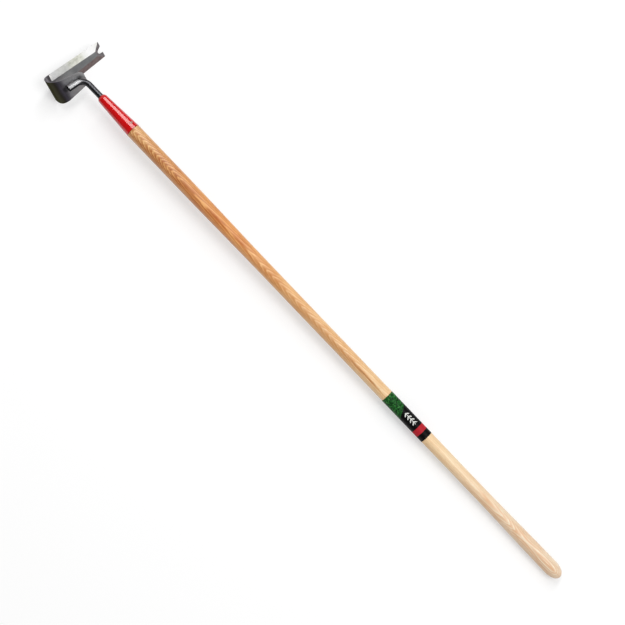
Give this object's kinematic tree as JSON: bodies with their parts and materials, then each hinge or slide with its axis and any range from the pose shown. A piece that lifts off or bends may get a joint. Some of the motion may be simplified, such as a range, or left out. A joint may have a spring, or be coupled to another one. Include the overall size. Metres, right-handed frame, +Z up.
{
  "type": "push-pull hoe",
  "caption": "Push-pull hoe: a steel strip bent into a J with ground edges and a weed notch, on a bent neck, a red socket and a long ash handle.",
  "frame": {"origin": "on the floor, under the middle of the box round the tool as it lies at rest", "axes": "+X along the handle from the head to the butt, +Y across it towards the blade's notched free end, +Z up"},
  "size_m": [1.7034, 0.1674, 0.0776],
  "materials": {
    "stainless_steel": "satin strip, ground edges",
    "neck_steel": "drawn bar, satin",
    "weld_bead": "weld seam, dull",
    "red_lacquer": "gloss lacquer",
    "nose_lacquer": "gloss lacquer over a weld",
    "rivet_steel": "bare steel with traces of lacquer",
    "ash_wood": "turned ash, thin clear varnish",
    "label_film": "printed film"
  },
  "bodies": {
    "root": {"hoe_head": "stainless_steel", "neck_rod": "neck_steel", "foot_weld_front": "weld_bead", "foot_weld_rear": "weld_bead", "socket": "red_lacquer", "nose_weld": "nose_lacquer", "rivet": "rivet_steel", "handle": "ash_wood", "label_sleeve": "label_film"}
  },
  "joints": []
}
